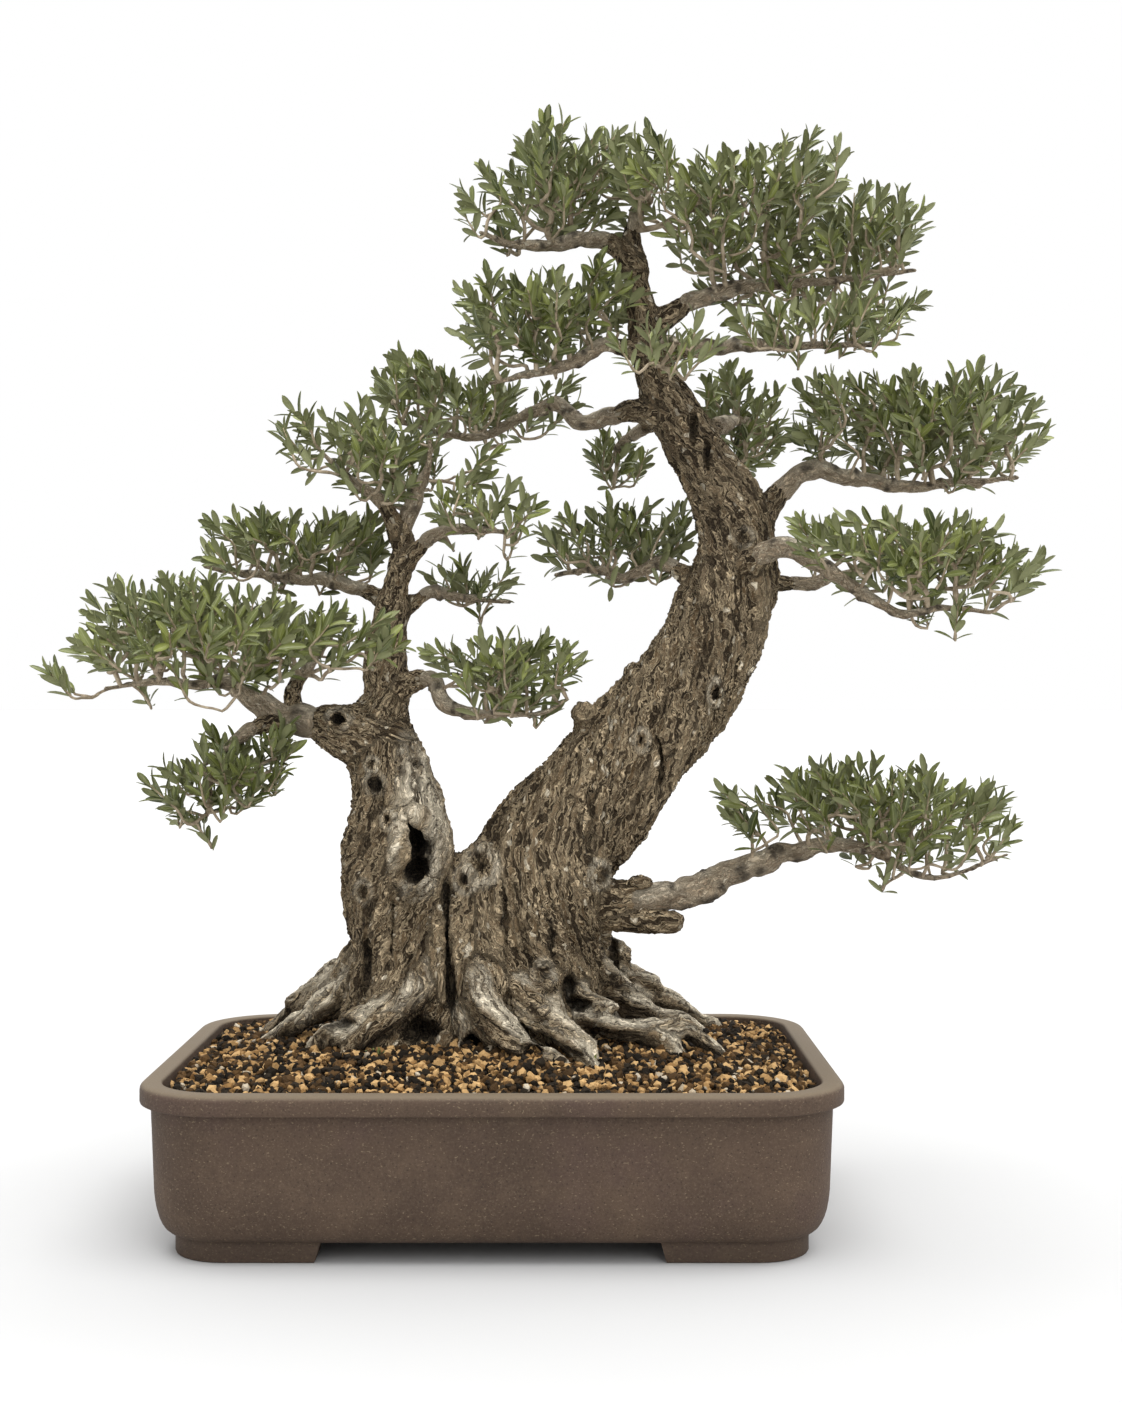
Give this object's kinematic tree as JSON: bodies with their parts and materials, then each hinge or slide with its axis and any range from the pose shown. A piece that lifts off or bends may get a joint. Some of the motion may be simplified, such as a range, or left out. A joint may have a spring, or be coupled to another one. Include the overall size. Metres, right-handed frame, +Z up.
{
  "type": "bonsai tree in a pot",
  "caption": "Old olive bonsai with a forked trunk, spreading surface roots and cloud-like leaf pads, in gritty soil in a shallow brown clay pot on bracket feet.",
  "frame": {"origin": "bottom centre of the whole object's bounding box, on the surface that the pot's feet stand on", "axes": "+Z up; +X to the right along the pot's long side; -Y is the front, where both trunks show best"},
  "size_m": [0.6592, 0.3284, 0.7014],
  "materials": {
    "clay": "matte",
    "plastic_mesh": "matte",
    "wire": "satin",
    "soil": "matte",
    "bark": "matte",
    "twig_bark": "matte",
    "leaves": "satin"
  },
  "bodies": {
    "root": {"pot": "clay", "drainage_mesh_left": "plastic_mesh", "mesh_clip_left": "wire", "drainage_mesh_right": "plastic_mesh", "mesh_clip_right": "wire", "soil": "soil", "trunk": "bark", "branch_low_right": "twig_bark", "branch_right_mid_front": "twig_bark", "branch_right_mid_back": "twig_bark", "branch_right_high": "twig_bark", "branch_mid_left": "twig_bark", "branch_back_right": "twig_bark", "branch_back_left": "twig_bark", "branch_upper_left_low": "twig_bark", "branch_upper_left_high": "twig_bark", "branch_crown_right": "twig_bark", "branch_crown_front": "twig_bark", "branch_top_right": "twig_bark", "branch_apex_left": "twig_bark", "branch_apex": "twig_bark", "branch_left_big": "twig_bark", "branch_left_big_up": "twig_bark", "branch_left_lower": "twig_bark", "branch_left_right_low": "twig_bark", "branch_left_second": "twig_bark", "branch_left_small_right": "twig_bark", "branch_left_top_right": "twig_bark", "branch_left_top_left": "twig_bark", "branch_left_top_mid": "twig_bark", "foliage_low_right": "leaves", "foliage_right_mid": "leaves", "foliage_right_high": "leaves", "foliage_mid_left": "leaves", "foliage_back_right": "leaves", "foliage_back_left": "leaves", "foliage_crown_front": "leaves", "foliage_crown_right_low": "leaves", "foliage_crown_right": "leaves", "foliage_apex": "leaves", "foliage_apex_left": "leaves", "foliage_upper_left_high": "leaves", "foliage_upper_left_low": "leaves", "foliage_left_big": "leaves", "foliage_left_lower": "leaves", "foliage_left_right_low": "leaves", "foliage_left_second": "leaves", "foliage_left_small_right": "leaves", "foliage_left_top_right": "leaves", "foliage_left_top": "leaves"}
  },
  "joints": []
}
